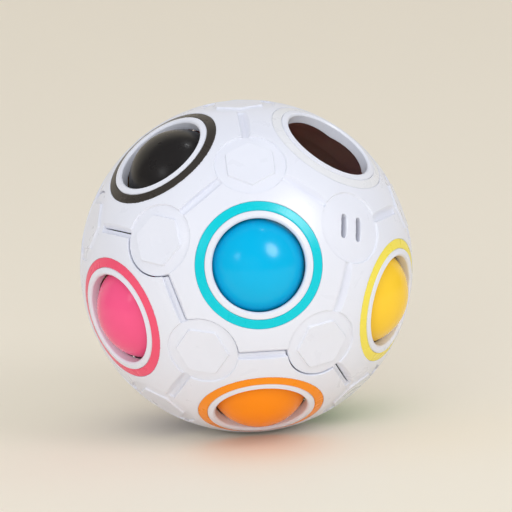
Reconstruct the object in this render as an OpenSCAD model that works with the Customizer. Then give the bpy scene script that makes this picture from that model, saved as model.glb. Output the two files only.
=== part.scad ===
// Spherical sliding-ball puzzle. A hollow white case with twelve round holes holds
// eleven loose coloured balls, so one hole is always open. A ball beside the open
// hole is pressed in, passes under the bridge between the two holes, and comes up
// in the open one. The case is two half shells that meet on a zigzag line.
//
// The holes sit at the corners of an icosahedron. The origin is the centre of the
// case. +Z is up through the middle of three holes, so the case stands on the flat
// pad opposite, and -Y is the front, where the blue ball faces.

/* [Case] */
// Outer radius of the case
case_r = 35; // [34.5:0.25:36]
// Thickness of the case wall
wall = 2.7; // [2.4:0.1:3]
// Gap along the joint line between the two half shells
joint_gap = 0.24; // [0.1:0.02:0.3]

/* [Holes and rings] */
// Radius of the round holes
hole_r = 9.6; // [9.3:0.05:9.7]
// Rounding of the lip at the mouth of each hole
lip_round = 0.6; // [0.4:0.1:1]
// Inner radius of the coloured rings
ring_in_r = 11.17; // [10.9:0.01:11.4]
// Outer radius of the coloured rings
ring_out_r = 13.07; // [12.8:0.01:13.2]
// Height of the rings' flat underside above the centre of the case
ring_base = 32; // [31.8:0.1:32.1]
// Clearance between a ring and the groove that it is pressed into
ring_gap = 0.04; // [0.02:0.01:0.08]

/* [Balls and core] */
// Radius of the loose balls
ball_r = 10.8; // [10.5:0.1:10.8]
// Distance of each resting ball from the centre of the case
ball_reach = 25.6; // [25.2:0.1:25.6]
// Radius of the loose core ball in the middle
core_r = 7.8; // [7.4:0.1:7.8]

/* [Surface pattern] */
// Radius of the round pads between the holes
pad_r = 7.5; // [6.8:0.05:7.6]
// Corner radius of the raised six-sided flat on each pad
flat_r = 5.6; // [5:0.1:6]
// Depth of the round pads below the case surface
pad_sink = 0.4; // [0.4:0.05:0.6]
// Depth of the six-sided flats below the case surface at their middle
flat_sink = 0.35; // [0.25:0.05:0.35]
// Half the length of the grooves that join the pads
groove_half = 5.2; // [4.8:0.1:5.4]
// Width of the grooves
groove_w = 2.2; // [1.6:0.1:2.6]
// Depth of the grooves
groove_depth = 1.15; // [0.8:0.05:1.3]

/* [Cord bar] */
// Length of the two slots beside the cord bar
slot_len = 5.2; // [4:0.1:6]
// Width of each slot
slot_w = 1.25; // [1:0.05:1.5]
// Distance between the middles of the two slots
slot_pitch = 3.8; // [3.4:0.1:4.2]

/* [Hidden] */
$fn = 96;
inner_r = case_r - wall;
beyond = case_r + 5;
// angles of an icosahedron, measured from the open hole
hole_tilt = atan(2);
edge_tilt = hole_tilt / 2;
pad_tilt = acos(sqrt((5 + 2 * sqrt(5)) / 15));
belt_tilt = acos(sqrt((5 - 2 * sqrt(5)) / 15));
fifth = 72;
tenth = 36;
// yaw of the open hole about +Z
open_yaw = -30;

// each hole: ring and ball colour name, tilt from the open hole, turn about it
NEAR = ["yellow", "purple", "red", "black", "blue"];
FAR = ["green", "brown", "lime", "pink", "orange"];
HOLES = concat(
    [["white", 0, 0]],
    [for (i = [0:4]) [NEAR[i], hole_tilt, fifth * i]],
    [for (i = [0:4]) [FAR[i], 180 - hole_tilt, fifth * i + tenth]],
    [["navy", 180, 0]]
);
// the pads that belong to the upper and to the lower half shell: tilt, turn
UPPER_BELT = [for (i = [0:4]) [belt_tilt, fifth * i + tenth]];
LOWER_BELT = [for (i = [0:4]) [180 - belt_tilt, fifth * i]];
BAR_PAD = [pad_tilt, fifth * 4 + tenth];
FLAT_PADS = concat(
    [for (i = [0:3]) [pad_tilt, fifth * i + tenth]],
    UPPER_BELT,
    LOWER_BELT,
    [for (i = [0:4]) [180 - pad_tilt, fifth * i]]
);
// the grooves: tilt, turn, and angle of the groove on the surface
GROOVES = concat(
    [for (i = [0:4]) [edge_tilt, fifth * i, 90]],
    [for (i = [0:4]) [90 - edge_tilt, fifth * i + tenth, 0]],
    [for (i = [0:4]) [90, fifth * i + tenth / 2, 90 + edge_tilt]],
    [for (i = [0:4]) [90, fifth * i - tenth / 2, 90 - edge_tilt]],
    [for (i = [0:4]) [90 + edge_tilt, fifth * i, 180]],
    [for (i = [0:4]) [180 - edge_tilt, fifth * i + tenth, 90]]
);

shell_paint = [0.91, 0.92, 0.95];
PAINTS = [
    ["white", [0.93, 0.92, 0.88]],
    ["yellow", [0.99, 0.84, 0.27]],
    ["purple", [0.50, 0.27, 0.66]],
    ["red", [0.84, 0.13, 0.13]],
    ["black", [0.12, 0.12, 0.13]],
    ["blue", [0.02, 0.73, 0.88]],
    ["green", [0.10, 0.58, 0.27]],
    ["brown", [0.42, 0.24, 0.14]],
    ["lime", [0.62, 0.82, 0.20]],
    ["pink", [0.94, 0.36, 0.52]],
    ["orange", [1.00, 0.54, 0.09]],
    ["navy", [0.10, 0.20, 0.55]]
];

function hole_of(name) = [for (h = HOLES) if (h[0] == name) h][0];
function paint_of(name) = [for (p = PAINTS) if (p[0] == name) p[1]][0];
// height of the case surface over a plane, at a distance from a radial axis
function surface_at(dist) = sqrt(pow(case_r, 2) - pow(dist, 2));
function on_belt(i) =
    let (tilt = i % 2 == 0 ? 180 - belt_tilt : belt_tilt, turn = tenth * i)
    2 * beyond * [sin(tilt) * cos(turn), sin(tilt) * sin(turn), cos(tilt)];

// stands the puzzle up, from the open hole at the top to a pad at the top
module stand_up() {
    rotate([0, 0, open_yaw]) rotate([0, pad_tilt, 0]) children();
}

// turns +Z to a place on the case, with +X pointing away from the open hole
module aim(tilt, turn) {
    rotate([0, 0, turn]) rotate([0, tilt, 0]) children();
}

// everything on the open hole's side of the zigzag joint line
module upper_zone(shift) {
    translate([0, 0, shift])
        polyhedron(
            points = concat([[0, 0, 0], [0, 0, 4 * beyond]], [for (i = [0:9]) on_belt(i)]),
            faces = concat(
                [for (i = [0:9]) [0, 2 + i, 2 + (i + 1) % 10]],
                [for (i = [0:9]) [1, 2 + (i + 1) % 10, 2 + i]]
            )
        );
}

// round plugs through the wall at a set of pads
module pad_plugs(pads, r) {
    for (p = pads)
        aim(p[0], p[1]) translate([0, 0, inner_r - 5]) cylinder(r = r, h = wall + 10);
}

// the tool that bores one hole and rounds its lip
module hole_tool() {
    top = surface_at(hole_r + lip_round);
    steps = 6;
    rotate_extrude()
        polygon(concat(
            [[0, inner_r / 2], [hole_r, inner_r / 2]],
            [for (i = [0:steps]) let (a = 90 * i / steps)
                [hole_r + lip_round * (1 - cos(a)), top + lip_round * (sin(a) - 1)]],
            [[hole_r + lip_round, beyond], [0, beyond]]
        ));
}

// the groove that a coloured ring is pressed into
module ring_seat() {
    translate([0, 0, ring_base - ring_gap]) difference() {
        cylinder(r = ring_out_r + ring_gap, h = wall * 3);
        translate([0, 0, -1]) cylinder(r = ring_in_r - ring_gap, h = wall * 3 + 2);
    }
}

// sinks a round pad, which follows the curve of the case, round its six-sided flat
module pad_tool(with_flat) {
    difference() {
        translate([0, 0, inner_r]) cylinder(r = pad_r, h = wall + 3);
        sphere(r = case_r - pad_sink);
        if (with_flat) translate([0, 0, inner_r - 1])
            cylinder(r = flat_r, h = wall + 1 - flat_sink, $fn = 6);
    }
}

// a groove with one steep wall and one sloping wall, along X
module groove_tool() {
    rotate([90, 0, 90]) linear_extrude(height = 2 * groove_half, center = true)
        polygon([
            [-0.45 * groove_w, case_r + 1],
            [-0.45 * groove_w, case_r - groove_depth],
            [0.05 * groove_w, case_r - groove_depth],
            [0.55 * groove_w, case_r],
            [0.55 * groove_w, case_r + 1]
        ]);
}

// two round-ended slots through the wall, with the cord bar left standing between them
module bar_slots() {
    straight = slot_len - slot_w;
    for (side = [-1, 1]) translate([0, side * slot_pitch / 2, inner_r - 2]) {
        translate([-straight / 2, -slot_w / 2, 0]) cube([straight, slot_w, wall + 4]);
        for (end = [-1, 1])
            translate([end * straight / 2, 0, 0]) cylinder(r = slot_w / 2, h = wall + 4);
    }
}

// the plain hollow ball, with no holes yet
module hollow_ball() {
    difference() {
        sphere(r = case_r);
        sphere(r = inner_r);
    }
}

// everything that is cut out of the case
module case_tools() {
    for (h = HOLES) aim(h[1], h[2]) hole_tool();
    for (h = HOLES) aim(h[1], h[2]) ring_seat();
    for (p = FLAT_PADS) aim(p[0], p[1]) pad_tool(true);
    for (g = GROOVES) aim(g[0], g[1]) rotate([0, 0, g[2]]) groove_tool();
    aim(BAR_PAD[0], BAR_PAD[1]) pad_tool(false);
    aim(BAR_PAD[0], BAR_PAD[1]) bar_slots();
}

// the half with the open hole and the five holes round it
module shell_upper() {
    color(shell_paint) stand_up() difference() {
        intersection() {
            hollow_ball();
            difference() {
                union() {
                    upper_zone(joint_gap / 2);
                    pad_plugs(UPPER_BELT, pad_r - joint_gap / 2);
                }
                pad_plugs(LOWER_BELT, pad_r + joint_gap / 2);
            }
        }
        case_tools();
    }
}

// the half with the six other holes
module shell_lower() {
    color(shell_paint) stand_up() difference() {
        difference() {
            hollow_ball();
            difference() {
                union() {
                    upper_zone(-joint_gap / 2);
                    pad_plugs(UPPER_BELT, pad_r + joint_gap / 2);
                }
                pad_plugs(LOWER_BELT, pad_r - joint_gap / 2);
            }
        }
        case_tools();
    }
}

// a flat-based ring whose top follows the case surface
module ring(name) {
    $fn = 360;
    h = hole_of(name);
    color(paint_of(name)) stand_up() aim(h[1], h[2]) intersection() {
        sphere(r = case_r);
        translate([0, 0, ring_base]) difference() {
            cylinder(r = ring_out_r, h = wall * 2);
            translate([0, 0, -1]) cylinder(r = ring_in_r, h = wall * 2 + 2);
        }
    }
}

module loose_ball(name) {
    h = hole_of(name);
    color(paint_of(name)) stand_up() aim(h[1], h[2])
        translate([0, 0, ball_reach]) sphere(r = ball_r);
}

// the plain ball in the middle that keeps the others in their lanes
module core() {
    color(shell_paint) sphere(r = core_r);
}

shell_upper();
shell_lower();
core();
ring("white");  // ring_white
ring("yellow");  // ring_yellow
ring("purple");  // ring_purple
ring("red");  // ring_red
ring("black");  // ring_black
ring("blue");  // ring_blue
ring("green");  // ring_green
ring("brown");  // ring_brown
ring("lime");  // ring_lime
ring("pink");  // ring_pink
ring("orange");  // ring_orange
ring("navy");  // ring_navy
loose_ball("yellow");  // ball_yellow
loose_ball("purple");  // ball_purple
loose_ball("red");  // ball_red
loose_ball("black");  // ball_black
loose_ball("blue");  // ball_blue
loose_ball("green");  // ball_green
loose_ball("brown");  // ball_brown
loose_ball("lime");  // ball_lime
loose_ball("pink");  // ball_pink
loose_ball("orange");  // ball_orange
loose_ball("navy");  // ball_navy
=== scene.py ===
"""Looks for the sliding-ball puzzle: a white two-part case, coloured rings, balls and a core."""

import bmesh
import bpy
import numpy as np
from mathutils import Matrix, Vector


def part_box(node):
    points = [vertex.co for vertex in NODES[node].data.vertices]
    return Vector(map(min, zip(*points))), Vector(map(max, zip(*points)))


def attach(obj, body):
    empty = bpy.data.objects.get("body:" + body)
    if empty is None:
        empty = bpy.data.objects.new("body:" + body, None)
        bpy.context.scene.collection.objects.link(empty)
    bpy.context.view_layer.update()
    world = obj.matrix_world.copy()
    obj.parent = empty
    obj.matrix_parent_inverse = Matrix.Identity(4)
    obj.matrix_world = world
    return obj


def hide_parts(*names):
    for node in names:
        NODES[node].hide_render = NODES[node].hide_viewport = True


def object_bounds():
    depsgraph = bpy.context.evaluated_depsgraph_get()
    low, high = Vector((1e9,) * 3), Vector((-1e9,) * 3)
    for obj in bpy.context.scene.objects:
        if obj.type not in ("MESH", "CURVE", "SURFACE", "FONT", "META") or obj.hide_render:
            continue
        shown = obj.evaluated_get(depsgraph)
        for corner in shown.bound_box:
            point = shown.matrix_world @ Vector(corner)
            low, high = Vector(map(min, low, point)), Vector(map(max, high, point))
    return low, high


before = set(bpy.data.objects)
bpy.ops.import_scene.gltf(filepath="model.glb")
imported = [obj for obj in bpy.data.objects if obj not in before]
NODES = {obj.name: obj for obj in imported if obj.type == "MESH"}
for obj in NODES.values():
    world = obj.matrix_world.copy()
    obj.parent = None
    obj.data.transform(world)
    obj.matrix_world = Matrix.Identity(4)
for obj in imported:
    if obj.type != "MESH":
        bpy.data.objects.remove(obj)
CAD_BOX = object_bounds()

# ---------------------------------------------------------------- sizes, in metres
MM = 0.001
# the case is remeshed in cells of this size, then its edges are softened as a moulding's are
VOXEL = 0.15 * MM
EDGE_PASSES = 5
CASE_FACES = 190_000
# points this close to a true surface go back onto it, fading out to none
SNAP_FULL = 0.05 * MM
SNAP_NONE = 0.11 * MM
# the same for the walls of the grooves that hold the rings
GROOVE_FULL = 0.12 * MM
GROOVE_NONE = 0.2 * MM
# a face counts as lying on a true surface when its corners are this close and it faces the same way
ON_SURFACE = 0.025 * MM
SAME_WAY = 0.98
# the pads, their six-sided flats and the play round the rings, as the CAD model has them
PAD_R = 7.5 * MM
PAD_SINK = 0.4 * MM
FLAT_SINK = 0.35 * MM
RING_GAP = 0.04 * MM
# how far above its lowest point a ring's flat base is looked for
BASE_BAND = 0.25 * MM
# the ball lanes pressed into the inside of the case, from each hole to its neighbours
LANE_DEPTH = 0.55 * MM
LANE_HALF_ANGLE = np.radians(11)
LANE_FADE = 1.5 * MM
# faces this far beyond the inner radius that face the middle this squarely are the inside
INSIDE_BAND = 1.2 * LANE_DEPTH
FACING_IN = -0.7
# the rounding of a ring's edges, and how far its top has dropped at its outer edge
RING_FILLET = 0.2 * MM
RING_DROP = 0.12 * MM
# the ridge that the mould leaves round a ball
PARTING_RIDGE = 0.03 * MM
PARTING_WIDTH = 0.07 * MM
ROUND_STEPS = 160
FILLET_STEPS = 6
CROWN_STEPS = 8
BALL_STEPS = 44
RIDGE_STEPS = 9
# the floor lies this far below the flat that the puzzle stands on
FLOOR_GAP = 0.02 * MM
CAMERA_DISTANCE = 1.05
LENS = 350.6
# how far right of and above the middle of the puzzle the camera aims
AIM = (2.04 * MM, 2.08 * MM)
# the angle between two holes that lie next to each other, and the slack in its cosine
NEXT_HOLE = np.arctan(2)
COSINE_SLACK = 0.01

# roughness of the gloss
SHELL_GLOSS = 0.3
INSIDE_GLOSS = 0.5
RING_GLOSS = 0.28
BALL_GLOSS = 0.19
BLACK_BALL_GLOSS = 0.3

SHELL_COLOUR = (0.80, 0.815, 0.90)
# a warm brown, darker than the shell, given to the faces on the inside of the case
INSIDE_COLOUR = (0.75, 0.47, 0.35)
BALL_COLOURS = {
    "yellow": (1.0, 0.62, 0.04),
    "purple": (0.22, 0.05, 0.42),
    "red": (0.72, 0.01, 0.01),
    "black": (0.021, 0.019, 0.019),
    "blue": (0.0, 0.47, 0.81),
    "green": (0.005, 0.32, 0.05),
    "brown": (0.15, 0.045, 0.018),
    "lime": (0.36, 0.68, 0.02),
    "pink": (0.96, 0.11, 0.27),
    "orange": (1.0, 0.27, 0.003),
    "navy": (0.01, 0.03, 0.26),
}
RING_COLOURS = dict(
    BALL_COLOURS,
    white=(0.80, 0.805, 0.84),
    blue=(0.0, 0.62, 0.72),
    pink=(0.92, 0.10, 0.19),
    yellow=(0.93, 0.78, 0.10),
    black=(0.05, 0.043, 0.037),
    orange=(1.0, 0.30, 0.01),
)


# ---------------------------------------------------------------- vectors and meshes
def unit(v):
    return v / np.linalg.norm(v, axis=-1, keepdims=True)


def read(items, field, width, kind=float):
    """One field of many mesh items, as rows of numbers."""
    values = np.empty(len(items) * width, kind)
    items.foreach_get(field, values)
    return values.reshape(-1, width)


def points_of(mesh):
    return read(mesh.vertices, "co", 3)


def set_points(mesh, co):
    mesh.vertices.foreach_set("co", co.reshape(-1))
    mesh.update()


def along_and_off(co, axis):
    """How far points lie along an axis, and their offset from it."""
    height = co @ axis
    return height, co - np.outer(height, axis)


def baked(mesh, *modifiers):
    """The mesh after a list of (type, settings) modifiers."""
    worker = bpy.data.objects.new("worker", mesh)
    bpy.context.collection.objects.link(worker)
    for kind, settings in modifiers:
        modifier = worker.modifiers.new(kind, kind)
        for key, value in settings.items():
            setattr(modifier, key, value)
    graph = bpy.context.evaluated_depsgraph_get()
    result = bpy.data.meshes.new_from_object(worker.evaluated_get(graph))
    bpy.data.objects.remove(worker)
    return result


def revolved(name, profile, axis, centre=(0, 0, 0), closed=False):
    """Turns a profile of (radius, height) about an axis. A radius of 0 is a pole."""
    turns = np.arange(ROUND_STEPS) * 2 * np.pi / ROUND_STEPS
    points, rows = [], []
    for radius, height in profile:
        if radius == 0:
            rows.append([len(points)] * ROUND_STEPS)
            points.append((0, 0, height))
        else:
            rows.append(range(len(points), len(points) + ROUND_STEPS))
            points += [(radius * np.cos(a), radius * np.sin(a), height) for a in turns]
    next_rows = rows[1:] + rows[:1] if closed else rows[1:]
    faces = []
    for low, high in zip(rows, next_rows):
        for i in range(ROUND_STEPS):
            j = (i + 1) % ROUND_STEPS
            corners = dict.fromkeys([low[i], low[j], high[j], high[i]])
            faces.append(list(corners))
    mesh = bpy.data.meshes.new(name)
    mesh.from_pydata(points, [], faces)
    turn = Vector(axis).to_track_quat("Z", "X").to_matrix().to_4x4()
    mesh.transform(Matrix.Translation(Vector(centre)) @ turn)
    mesh.shade_smooth()
    return mesh


def new_piece(name, mesh, body, node, material):
    """A finished piece that rides on a body and stands for a CAD node."""
    piece = bpy.data.objects.new(name, mesh)
    bpy.context.collection.objects.link(piece)
    mesh.materials.append(material)
    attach(piece, body)
    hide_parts(node)
    return piece


# ---------------------------------------------------------------- materials
def texture(tree, scale, detail, rough=0.5, twist=0.0):
    noise = tree.nodes.new("ShaderNodeTexNoise")
    settings = {"Scale": scale, "Detail": detail, "Roughness": rough, "Distortion": twist}
    for key, value in settings.items():
        noise.inputs[key].default_value = value
    tree.links.new(tree.nodes["Texture Coordinate"].outputs["Object"], noise.inputs["Vector"])
    return noise.outputs["Fac"]


def plastic(name, colour, roughness, seed, specular=0.25, bump=0.015):
    """Moulded plastic: a faintly clouded colour, handling smears in the gloss and a fine skin."""
    material = bpy.data.materials.new(name)
    material.use_nodes = True
    tree = material.node_tree
    shader = tree.nodes["Principled BSDF"]
    shader.inputs["Specular IOR Level"].default_value = specular
    tree.nodes.new("ShaderNodeTexCoord")

    tint = tree.nodes.new("ShaderNodeMix")
    tint.data_type = "RGBA"
    tint.inputs[6].default_value = (*[c * 0.96 for c in colour], 1)
    tint.inputs[7].default_value = (*[min(1, c * 1.03) for c in colour], 1)
    tree.links.new(texture(tree, 55.0 + seed, 3), tint.inputs[0])
    tree.links.new(tint.outputs[2], shader.inputs["Base Color"])

    gloss = tree.nodes.new("ShaderNodeMapRange")
    gloss.inputs["From Min"].default_value = 0.3
    gloss.inputs["From Max"].default_value = 0.7
    gloss.inputs["To Min"].default_value = roughness * 0.85
    gloss.inputs["To Max"].default_value = roughness * 1.2
    tree.links.new(texture(tree, 160.0 + seed, 5, 0.6, 0.8), gloss.inputs["Value"])
    tree.links.new(gloss.outputs["Result"], shader.inputs["Roughness"])

    relief = tree.nodes.new("ShaderNodeBump")
    relief.inputs["Strength"].default_value = bump
    relief.inputs["Distance"].default_value = 0.2 * MM
    tree.links.new(texture(tree, 900.0 + seed, 2), relief.inputs["Height"])
    tree.links.new(relief.outputs["Normal"], shader.inputs["Normal"])
    return material


# ---------------------------------------------------------------- what the CAD model says
def ring_axis(ring):
    """The axis of a CAD ring, square to the plane of its flat base."""
    points = points_of(ring.data)
    outward = unit(points.mean(axis=0))
    height = points @ outward
    base = points[height < height.min() + BASE_BAND]
    square = np.linalg.svd(base - base.mean(axis=0), full_matrices=False)[2][2]
    return square * np.sign(square @ outward)


AXES = {
    name.removeprefix("ring_"): ring_axis(node)
    for name, node in NODES.items()
    if name.startswith("ring_")
}
HOLES = np.array(list(AXES.values()))


def measure():
    """Radii of the case, of its holes and of the rings, from the CAD meshes."""
    ring = points_of(NODES["ring_orange"].data)
    height, off = along_and_off(ring, AXES["orange"])
    spread = np.linalg.norm(off, axis=1)
    shell = points_of(NODES["shell_lower"].data)
    radius = np.linalg.norm(shell, axis=1)
    up, side = along_and_off(shell, AXES["orange"])
    return {
        "case": np.linalg.norm(ring, axis=1).max(),
        "inside": radius.min(),
        "hole": np.linalg.norm(side[up > 0], axis=1).min(),
        "ring_in": spread.min(),
        "ring_out": spread.max(),
        "ring_base": height.min(),
    }


SIZE = measure()


def neighbours():
    """Pairs of holes that lie next to each other."""
    close = np.abs(HOLES @ HOLES.T - np.cos(NEXT_HOLE)) < COSINE_SLACK
    return [(i, j) for i in range(len(HOLES)) for j in range(i + 1, len(HOLES)) if close[i, j]]


PAIRS = neighbours()
PADS = [
    unit(HOLES[i] + HOLES[j] + HOLES[k])
    for i, j in PAIRS
    for k in range(j + 1, len(HOLES))
    if (i, k) in PAIRS and (j, k) in PAIRS
]


# ---------------------------------------------------------------- the two half shells
def snap(value, target, full=SNAP_FULL, none=SNAP_NONE):
    """Moves values that lie close to a target onto it, fading out with distance."""
    pull = np.clip((none - np.abs(value - target)) / (none - full), 0, 1)
    return value + pull * (target - value)


def snap_radius(co, chosen, target):
    r = np.linalg.norm(co[chosen], axis=1)
    co[chosen] *= (snap(r, target) / r)[:, None]


def snap_wall(co, axis, target, lowest, *limits):
    """Puts points that lie close to a round wall about an axis back onto it."""
    height, off = along_and_off(co, axis)
    spread = np.linalg.norm(off, axis=1)
    here = height > lowest
    off[here] *= (snap(spread[here], target, *limits) / spread[here])[:, None]
    co[here] = np.outer(height[here], axis) + off[here]


def settle(co):
    """Puts points that lie close to a true surface of the case back onto it."""
    everywhere = np.ones(len(co), bool)
    snap_radius(co, everywhere, SIZE["case"])
    snap_radius(co, everywhere, SIZE["inside"])
    for axis in HOLES:
        snap_wall(co, axis, SIZE["hole"], 0)
        for wall in (SIZE["ring_in"] - RING_GAP, SIZE["ring_out"] + RING_GAP):
            snap_wall(co, axis, wall, SIZE["ring_base"], GROOVE_FULL, GROOVE_NONE)
    sunk = SIZE["case"] - PAD_SINK
    for axis in PADS:
        height, off = along_and_off(co, axis)
        on_pad = (height > SIZE["inside"]) & (np.linalg.norm(off, axis=1) < PAD_R)
        snap_radius(co, on_pad, sunk)
        flat = SIZE["case"] - FLAT_SINK
        on_flat = on_pad & (np.abs(height - flat) < SNAP_NONE)
        co[on_flat] += np.outer(snap(height[on_flat], flat) - height[on_flat], axis)


def press_lanes(co):
    """Sinks the lanes that the balls run in into the inside of the case."""
    r = np.linalg.norm(co, axis=1)
    way = co / r[:, None]
    depth = np.zeros(len(co))
    for i, j in PAIRS:
        across = unit(np.cross(HOLES[i], HOLES[j]))
        middle = unit(HOLES[i] + HOLES[j])
        side = np.arcsin(np.clip(way @ across, -1, 1)) / LANE_HALF_ANGLE
        between = way @ middle > np.cos(NEXT_HOLE / 2)
        depth = np.maximum(depth, np.where(between, LANE_DEPTH * (1 - side**2), 0))
    fade = np.clip(1 - (r - SIZE["inside"]) / LANE_FADE, 0, 1)
    moved = co * (1 + fade * depth / r)[:, None]
    for axis in HOLES:
        height, off = along_and_off(co, axis)
        on_wall = (height > 0) & (np.linalg.norm(off, axis=1) < SIZE["hole"] + SNAP_NONE)
        moved[on_wall] = np.outer(moved[on_wall] @ axis, axis) + off[on_wall]
    co[:] = moved


def true_surfaces(co):
    """Each true surface of the case: which points lie on it, and its normals there."""
    r = np.linalg.norm(co, axis=1)
    radial = co / r[:, None]
    yield np.abs(r - SIZE["case"]) < ON_SURFACE, radial
    for axis in HOLES:
        height, off = along_and_off(co, axis)
        spread = np.linalg.norm(off, axis=1)
        inward = -off / np.maximum(spread, MM)[:, None]
        yield (height > 0) & (np.abs(spread - SIZE["hole"]) < ON_SURFACE), inward
    for axis in PADS:
        height, off = along_and_off(co, axis)
        on_pad = (height > SIZE["inside"]) & (np.linalg.norm(off, axis=1) < PAD_R + ON_SURFACE)
        yield on_pad & (np.abs(r - SIZE["case"] + PAD_SINK) < ON_SURFACE), radial
        flat = np.abs(height - SIZE["case"] + FLAT_SINK) < ON_SURFACE
        yield on_pad & flat, np.broadcast_to(axis, co.shape)


def corner_normals(mesh):
    """Smooth normals, but exact ones on every face that lies wholly on a true surface."""
    corners = read(mesh.loops, "vertex_index", 1, np.int32).reshape(-1, 3)
    facing = read(mesh.polygons, "normal", 3)
    normals = read(mesh.vertex_normals, "vector", 3)[corners]
    for on, exact in true_surfaces(points_of(mesh)):
        faces = np.flatnonzero(on[corners].all(axis=1))
        at = exact[corners[faces]]
        same = (at.mean(axis=1) * facing[faces]).sum(axis=1) > SAME_WAY
        normals[faces[same]] = at[same]
    return normals.reshape(-1, 3)


def mark_inside(mesh, material):
    """Gives the faces on the inside of the case a second material, a warm brown."""
    mesh.materials.append(material)
    centres = read(mesh.polygons, "center", 3)
    outward = (unit(centres) * read(mesh.polygons, "normal", 3)).sum(axis=1)
    near = np.linalg.norm(centres, axis=1) < SIZE["inside"] + INSIDE_BAND
    mesh.polygons.foreach_set("material_index", (near & (outward < FACING_IN)).astype(np.int32))


def drop_crumbs(mesh):
    """Removes the loose crumbs that the remesh leaves where the wall runs out thin."""
    a, b = read(mesh.edges, "vertices", 2, np.int32).T
    island = np.arange(len(mesh.vertices))
    settled = False
    while not settled:
        before = island.copy()
        lowest = np.minimum(island[a], island[b])
        np.minimum.at(island, a, lowest)
        np.minimum.at(island, b, lowest)
        island = island[island]
        settled = np.array_equal(island, before)
    loose = island != np.bincount(island).argmax()
    work = bmesh.new()
    work.from_mesh(mesh)
    work.verts.ensure_lookup_table()
    crumbs = [work.verts[i] for i in np.flatnonzero(loose)]
    bmesh.ops.delete(work, geom=crumbs, context="VERTS")
    work.to_mesh(mesh)
    work.free()


def case_half(name, node, outside, inside):
    """A half shell with the soft edges of a moulding, made from the CAD solid."""
    mesh = baked(
        NODES[node].data.copy(),
        ("REMESH", {"mode": "VOXEL", "voxel_size": VOXEL}),
        ("SMOOTH", {"factor": 0.5, "iterations": EDGE_PASSES}),
    )
    co = points_of(mesh)
    settle(co)
    press_lanes(co)
    set_points(mesh, co)
    fewer = {"ratio": CASE_FACES / (2 * len(mesh.polygons)), "use_collapse_triangulate": True}
    mesh = baked(mesh, ("DECIMATE", fewer))
    drop_crumbs(mesh)
    set_points(mesh, np.clip(points_of(mesh), *CAD_BOX))
    mesh.shade_smooth()
    mesh.normals_split_custom_set(corner_normals(mesh).tolist())
    mesh.materials.clear()
    new_piece(name, mesh, "case", node, outside)
    mark_inside(mesh, inside)


# ---------------------------------------------------------------- rings, balls and core
def ring_profile():
    """A flat-based ring whose rounded top leans a little away from the hole."""
    near, far, f = SIZE["ring_in"], SIZE["ring_out"], RING_FILLET

    def top(s):
        t = (s - near) / (far - near)
        return np.sqrt(SIZE["case"] ** 2 - s**2) - RING_DROP * t * (0.65 + 0.35 * t)

    bend = np.linspace(0, np.pi / 2, FILLET_STEPS)
    inner = [(near + f * (1 - np.cos(a)), top(near + f) - f * (1 - np.sin(a))) for a in bend]
    crown = [(s, top(s)) for s in np.linspace(near + f, far - f, CROWN_STEPS)[1:-1]]
    outer = [(far - f * (1 - np.cos(a)), top(far - f) - f * (1 - np.sin(a))) for a in bend[::-1]]
    base = SIZE["ring_base"]
    return [(far, base)] + outer[::-1] + crown[::-1] + inner[::-1] + [(near, base)]


def ring_piece(colour, seed):
    name = "trim_" + colour
    mesh = revolved(name, ring_profile(), AXES[colour], closed=True)
    paint = plastic("ring " + colour, RING_COLOURS[colour], RING_GLOSS, seed)
    new_piece(name, mesh, "case", "ring_" + colour, paint)


def ball_profile(radius):
    """A ball with the fine ridge that a two-part mould leaves at its middle."""
    near = np.linspace(-3, 3, RIDGE_STEPS) * PARTING_WIDTH / radius
    low = np.linspace(-np.pi / 2, near[0], BALL_STEPS)[:-1]
    tilt = np.concatenate([low, near, -low[::-1]])
    ridge = PARTING_RIDGE * (np.exp(-((tilt * radius / PARTING_WIDTH) ** 2)) - 1)
    profile = [((radius + d) * np.cos(t), (radius + d) * np.sin(t)) for t, d in zip(tilt, ridge)]
    profile[0] = (0, profile[0][1])
    profile[-1] = (0, profile[-1][1])
    return profile


def ball_piece(name, node, lean, paint):
    low, high = (np.array(corner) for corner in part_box(node))
    mesh = revolved(name, ball_profile((high - low).max() / 2), lean, (low + high) / 2)
    new_piece(name, mesh, node, node, paint)


# ---------------------------------------------------------------- stage, light and camera
FORWARD = Vector((0.0792, 0.9794, -0.1859)).normalized()
RIGHT = Vector((0.9948, -0.0896, -0.0486)).normalized()
UP = RIGHT.cross(FORWARD).normalized()


def stage(low_z):
    """A pale floor that curves up into a backdrop."""
    half_width, front, bend_start, bend_r, top = 3.0, -3.0, 1.2, 0.6, 2.5
    bend = np.linspace(0, np.pi / 2, 24)
    curve = [(front, 0.0)]
    curve += [(bend_start + bend_r * np.sin(a), bend_r * (1 - np.cos(a))) for a in bend]
    curve.append((bend_start + bend_r, top))
    points = [(side * half_width, y, low_z + z) for y, z in curve for side in (-1, 1)]
    faces = [(2 * i, 2 * i + 1, 2 * i + 3, 2 * i + 2) for i in range(len(curve) - 1)]
    mesh = bpy.data.meshes.new("floor")
    mesh.from_pydata(points, [], faces)
    mesh.shade_smooth()
    floor = bpy.data.objects.new("floor", mesh)
    bpy.context.collection.objects.link(floor)
    material = bpy.data.materials.new("floor")
    material.use_nodes = True
    shader = material.node_tree.nodes["Principled BSDF"]
    shader.inputs["Base Color"].default_value = (0.96, 0.885, 0.755, 1)
    shader.inputs["Roughness"].default_value = 0.6
    shader.inputs["Specular IOR Level"].default_value = 0.2
    mesh.materials.append(material)


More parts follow.
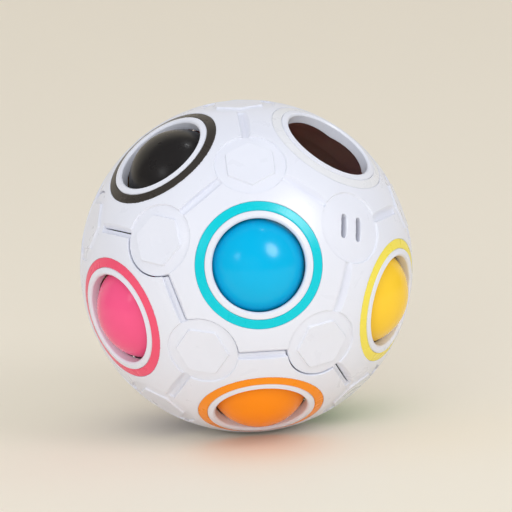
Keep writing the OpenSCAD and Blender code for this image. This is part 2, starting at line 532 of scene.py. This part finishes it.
def lamp(name, across, up, towards, distance, size, power, glint=False):
    """A round soft light, placed by how far it is to the right, above and in front of the puzzle.

    A glint is seen only in the gloss of the plastic, and any other lamp only lights it."""
    data = bpy.data.lights.new(name, "AREA")
    data.shape = "ELLIPSE"
    data.size, data.size_y = size
    data.energy = power
    data.color = (0.96, 0.98, 1.0)
    light = bpy.data.objects.new(name, data)
    light.visible_glossy = glint
    light.visible_diffuse = not glint
    way = (RIGHT * across + UP * up - FORWARD * towards).normalized()
    light.location = way * distance
    light.rotation_euler = way.to_track_quat("Z", "Y").to_euler()
    bpy.context.collection.objects.link(light)


def sky(strength):
    world = bpy.data.worlds.new("studio")
    world.use_nodes = True
    background = world.node_tree.nodes["Background"]
    background.inputs["Color"].default_value = (0.95, 0.97, 1.0, 1)
    background.inputs["Strength"].default_value = strength
    bpy.context.scene.world = world
    world.cycles_visibility.glossy = False


def camera():
    data = bpy.data.cameras.new("camera")
    data.lens = LENS
    data.sensor_width = 36
    data.clip_end = 10
    eye = bpy.data.objects.new("camera", data)
    turn = Matrix((RIGHT, UP, -FORWARD)).transposed()
    place = -FORWARD * CAMERA_DISTANCE + RIGHT * AIM[0] + UP * AIM[1]
    eye.matrix_world = Matrix.Translation(place) @ turn.to_4x4()
    bpy.context.collection.objects.link(eye)
    bpy.context.scene.camera = eye


# ---------------------------------------------------------------- the whole scene
shell_plastic = plastic("shell", SHELL_COLOUR, SHELL_GLOSS, 1)
shell_inside = plastic("shell inside", INSIDE_COLOUR, INSIDE_GLOSS, 2, specular=0.15)
case_half("case_upper", "shell_upper", shell_plastic, shell_inside)
case_half("case_lower", "shell_lower", shell_plastic, shell_inside)
for number, colour in enumerate(AXES):
    ring_piece(colour, number)
chance = np.random.default_rng(12)
for number, colour in enumerate(BALL_COLOURS):
    lean = unit(AXES[colour] + 0.35 * unit(chance.normal(size=3)))
    gloss = BLACK_BALL_GLOSS if colour == "black" else BALL_GLOSS
    paint = plastic("ball " + colour, BALL_COLOURS[colour], gloss, number)
    ball_piece("marble_" + colour, "ball_" + colour, lean, paint)
ball_piece("core_ball", "core", (0, 0, 1), plastic("core", SHELL_COLOUR, SHELL_GLOSS, 3))

bpy.context.scene.view_settings.view_transform = "Standard"
stage(CAD_BOX[0][2] - FLOOR_GAP)
lamp("key", 0.54, 0.52, 0.66, 0.8, (0.33, 0.40), 0.9)
lamp("front", -0.2, 0.0, 1.0, 1.6, (1.6, 1.2), 9.0)
lamp("key_glint", 0.54, 0.52, 0.66, 0.8, (0.33, 0.40), 5.4, glint=True)
lamp("fill_glint", -0.63, 0.31, 0.71, 0.8, (0.18, 0.22), 0.36, glint=True)
lamp("top_glint", 0.17, 0.98, 0.03, 0.9, (0.04, 0.04), 0.35, glint=True)
sky(0.78)
camera()
